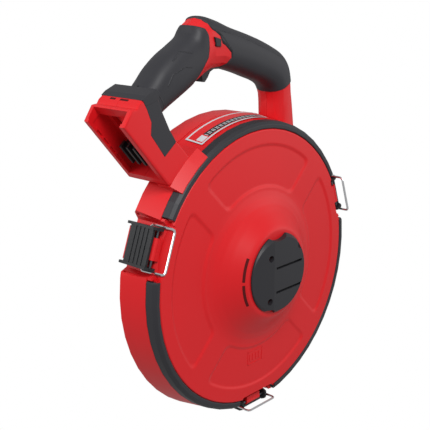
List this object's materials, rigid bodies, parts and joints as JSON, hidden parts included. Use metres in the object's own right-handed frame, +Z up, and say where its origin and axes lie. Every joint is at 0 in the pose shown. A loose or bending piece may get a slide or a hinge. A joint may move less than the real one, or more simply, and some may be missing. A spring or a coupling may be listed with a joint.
{
  "type": "powered pulling-tape reel",
  "caption": "Cordless reel with a round case, a powered drum of steel pulling tape, a trigger handle ending in a battery foot, and over-centre wire latches on the cover.",
  "frame": {"origin": "on the drum's axis, in the flat rear face of the motor cover", "axes": "+X towards the tape outlet, +Y along the drum's axis towards the rear, +Z up to the handle"},
  "size_m": [0.38, 0.1478, 0.474],
  "materials": {
    "red_shell": "satin moulded",
    "black_rubber": "matte",
    "charcoal_plastic": "fine grain",
    "dark_steel": "satin",
    "bright_steel": "brushed",
    "chrome_wire": "polished",
    "grey_plastic": "satin",
    "green_board": "satin",
    "copper_blade": "satin",
    "label_foil": "satin",
    "black_plastic": "satin"
  },
  "bodies": {
    "base": {"rear_housing": "red_shell", "motor_cover": "red_shell", "motor_cover_screw_1": "dark_steel", "motor_cover_screw_2": "dark_steel", "motor_cover_screw_3": "dark_steel", "motor_cover_screw_4": "dark_steel", "bumper_top": "black_rubber", "bumper_left": "black_rubber", "bumper_right": "black_rubber", "spindle": "dark_steel", "bearing_front": "bright_steel", "bearing_rear": "bright_steel", "gearbox_case": "dark_steel", "motor_can": "dark_steel", "control_board": "green_board", "handle_shell_near": "red_shell", "handle_shell_far": "red_shell", "grip_overmold_near": "black_rubber", "grip_overmold_far": "black_rubber", "bar_overmold_near": "black_rubber", "bar_overmold_far": "black_rubber", "foot_overmold_near": "black_rubber", "foot_overmold_far": "black_rubber", "handle_screw_1": "dark_steel", "handle_screw_2": "dark_steel", "handle_screw_3": "dark_steel", "terminal_block": "black_plastic", "terminal_blade_1": "copper_blade", "terminal_blade_2": "copper_blade", "terminal_blade_3": "copper_blade", "trigger_spring": "bright_steel", "trigger_switch": "black_plastic", "tape_guide": "black_plastic", "rating_label": "label_foil", "latch_pin_left": "dark_steel", "latch_pin_right": "dark_steel", "latch_pin_bottom": "dark_steel"},
    "cover": {"front_cover": "red_shell"},
    "knob": {"lock_knob": "charcoal_plastic", "knob_bolt": "dark_steel"},
    "drum": {"drum_hub": "charcoal_plastic", "drum_front_flange": "charcoal_plastic", "wound_tape": "bright_steel", "ring_gear": "grey_plastic"},
    "drive_pinion": {"drive_pinion": "dark_steel"},
    "motor_rotor": {"motor_rotor": "bright_steel"},
    "trigger": {"trigger": "black_plastic"},
    "direction_shuttle": {"direction_shuttle": "black_plastic"},
    "lever_left": {"latch_lever_left": "black_plastic"},
    "lever_right": {"latch_lever_right": "black_plastic"},
    "lever_bottom": {"latch_lever_bottom": "black_plastic"},
    "bail_left": {"latch_bail_left": "chrome_wire"},
    "bail_right": {"latch_bail_right": "chrome_wire"},
    "bail_bottom": {"latch_bail_bottom": "chrome_wire"}
  },
  "joints": [
    {"name": "cover_lift", "type": "slide", "parent": "base", "child": "cover", "axis": [0, -1, 0], "range_m": [0, 0.12]},
    {"name": "knob_turn", "type": "hinge", "parent": "cover", "child": "knob", "pos_m": [0, 0, 0], "axis": [0, 1, 0], "range_deg": [0, 60]},
    {"name": "drum_spin", "type": "hinge", "parent": "base", "child": "drum", "pos_m": [0, 0, 0], "axis": [0, 1, 0], "continuous": true},
    {"name": "pinion_spin", "type": "hinge", "parent": "base", "child": "drive_pinion", "pos_m": [0, 0, 0.04], "axis": [0, 1, 0], "continuous": true},
    {"name": "rotor_spin", "type": "hinge", "parent": "base", "child": "motor_rotor", "pos_m": [0, 0, 0.04], "axis": [0, 1, 0], "continuous": true},
    {"name": "trigger_squeeze", "type": "slide", "parent": "base", "child": "trigger", "axis": [-0.45, 0, 0.893], "range_m": [0, 0.006], "stiffness_N_per_m": 400, "springref_m": -0.002, "deforming": ["trigger_spring"]},
    {"name": "shuttle_slide", "type": "slide", "parent": "base", "child": "direction_shuttle", "axis": [0, 1, 0], "range_m": [-0.003, 0.003]},
    {"name": "lever_left_swing", "type": "hinge", "parent": "base", "child": "lever_left", "pos_m": [-0.16304, -0.105, 0.05934], "axis": [0.342, 0, 0.9397], "range_deg": [0, 110]},
    {"name": "lever_right_swing", "type": "hinge", "parent": "base", "child": "lever_right", "pos_m": [0.16304, -0.105, 0.05934], "axis": [0.342, 0, -0.9397], "range_deg": [0, 110]},
    {"name": "lever_bottom_swing", "type": "hinge", "parent": "base", "child": "lever_bottom", "pos_m": [0, -0.105, -0.1735], "axis": [-1, 0, 0], "range_deg": [0, 110]},
    {"name": "bail_left_swing", "type": "hinge", "parent": "lever_left", "child": "bail_left", "pos_m": [-0.16492, -0.095, 0.06003], "axis": [0.342, 0, 0.9397], "range_deg": [-170, 0]},
    {"name": "bail_right_swing", "type": "hinge", "parent": "lever_right", "child": "bail_right", "pos_m": [0.16492, -0.095, 0.06003], "axis": [0.342, 0, -0.9397], "range_deg": [-110, 0]},
    {"name": "bail_bottom_swing", "type": "hinge", "parent": "lever_bottom", "child": "bail_bottom", "pos_m": [0, -0.095, -0.1755], "axis": [-1, 0, 0], "range_deg": [-110, 0]}
  ],
  "couplings": [
    {"joint": "pinion_spin", "follows": "drum_spin", "ratio": 6},
    {"joint": "rotor_spin", "follows": "drum_spin", "ratio": 24},
    {"joint": "bail_left_swing", "follows": "lever_left_swing", "ratio": -1.545},
    {"joint": "bail_right_swing", "follows": "lever_right_swing", "ratio": -1},
    {"joint": "bail_bottom_swing", "follows": "lever_bottom_swing", "ratio": -1}
  ]
}
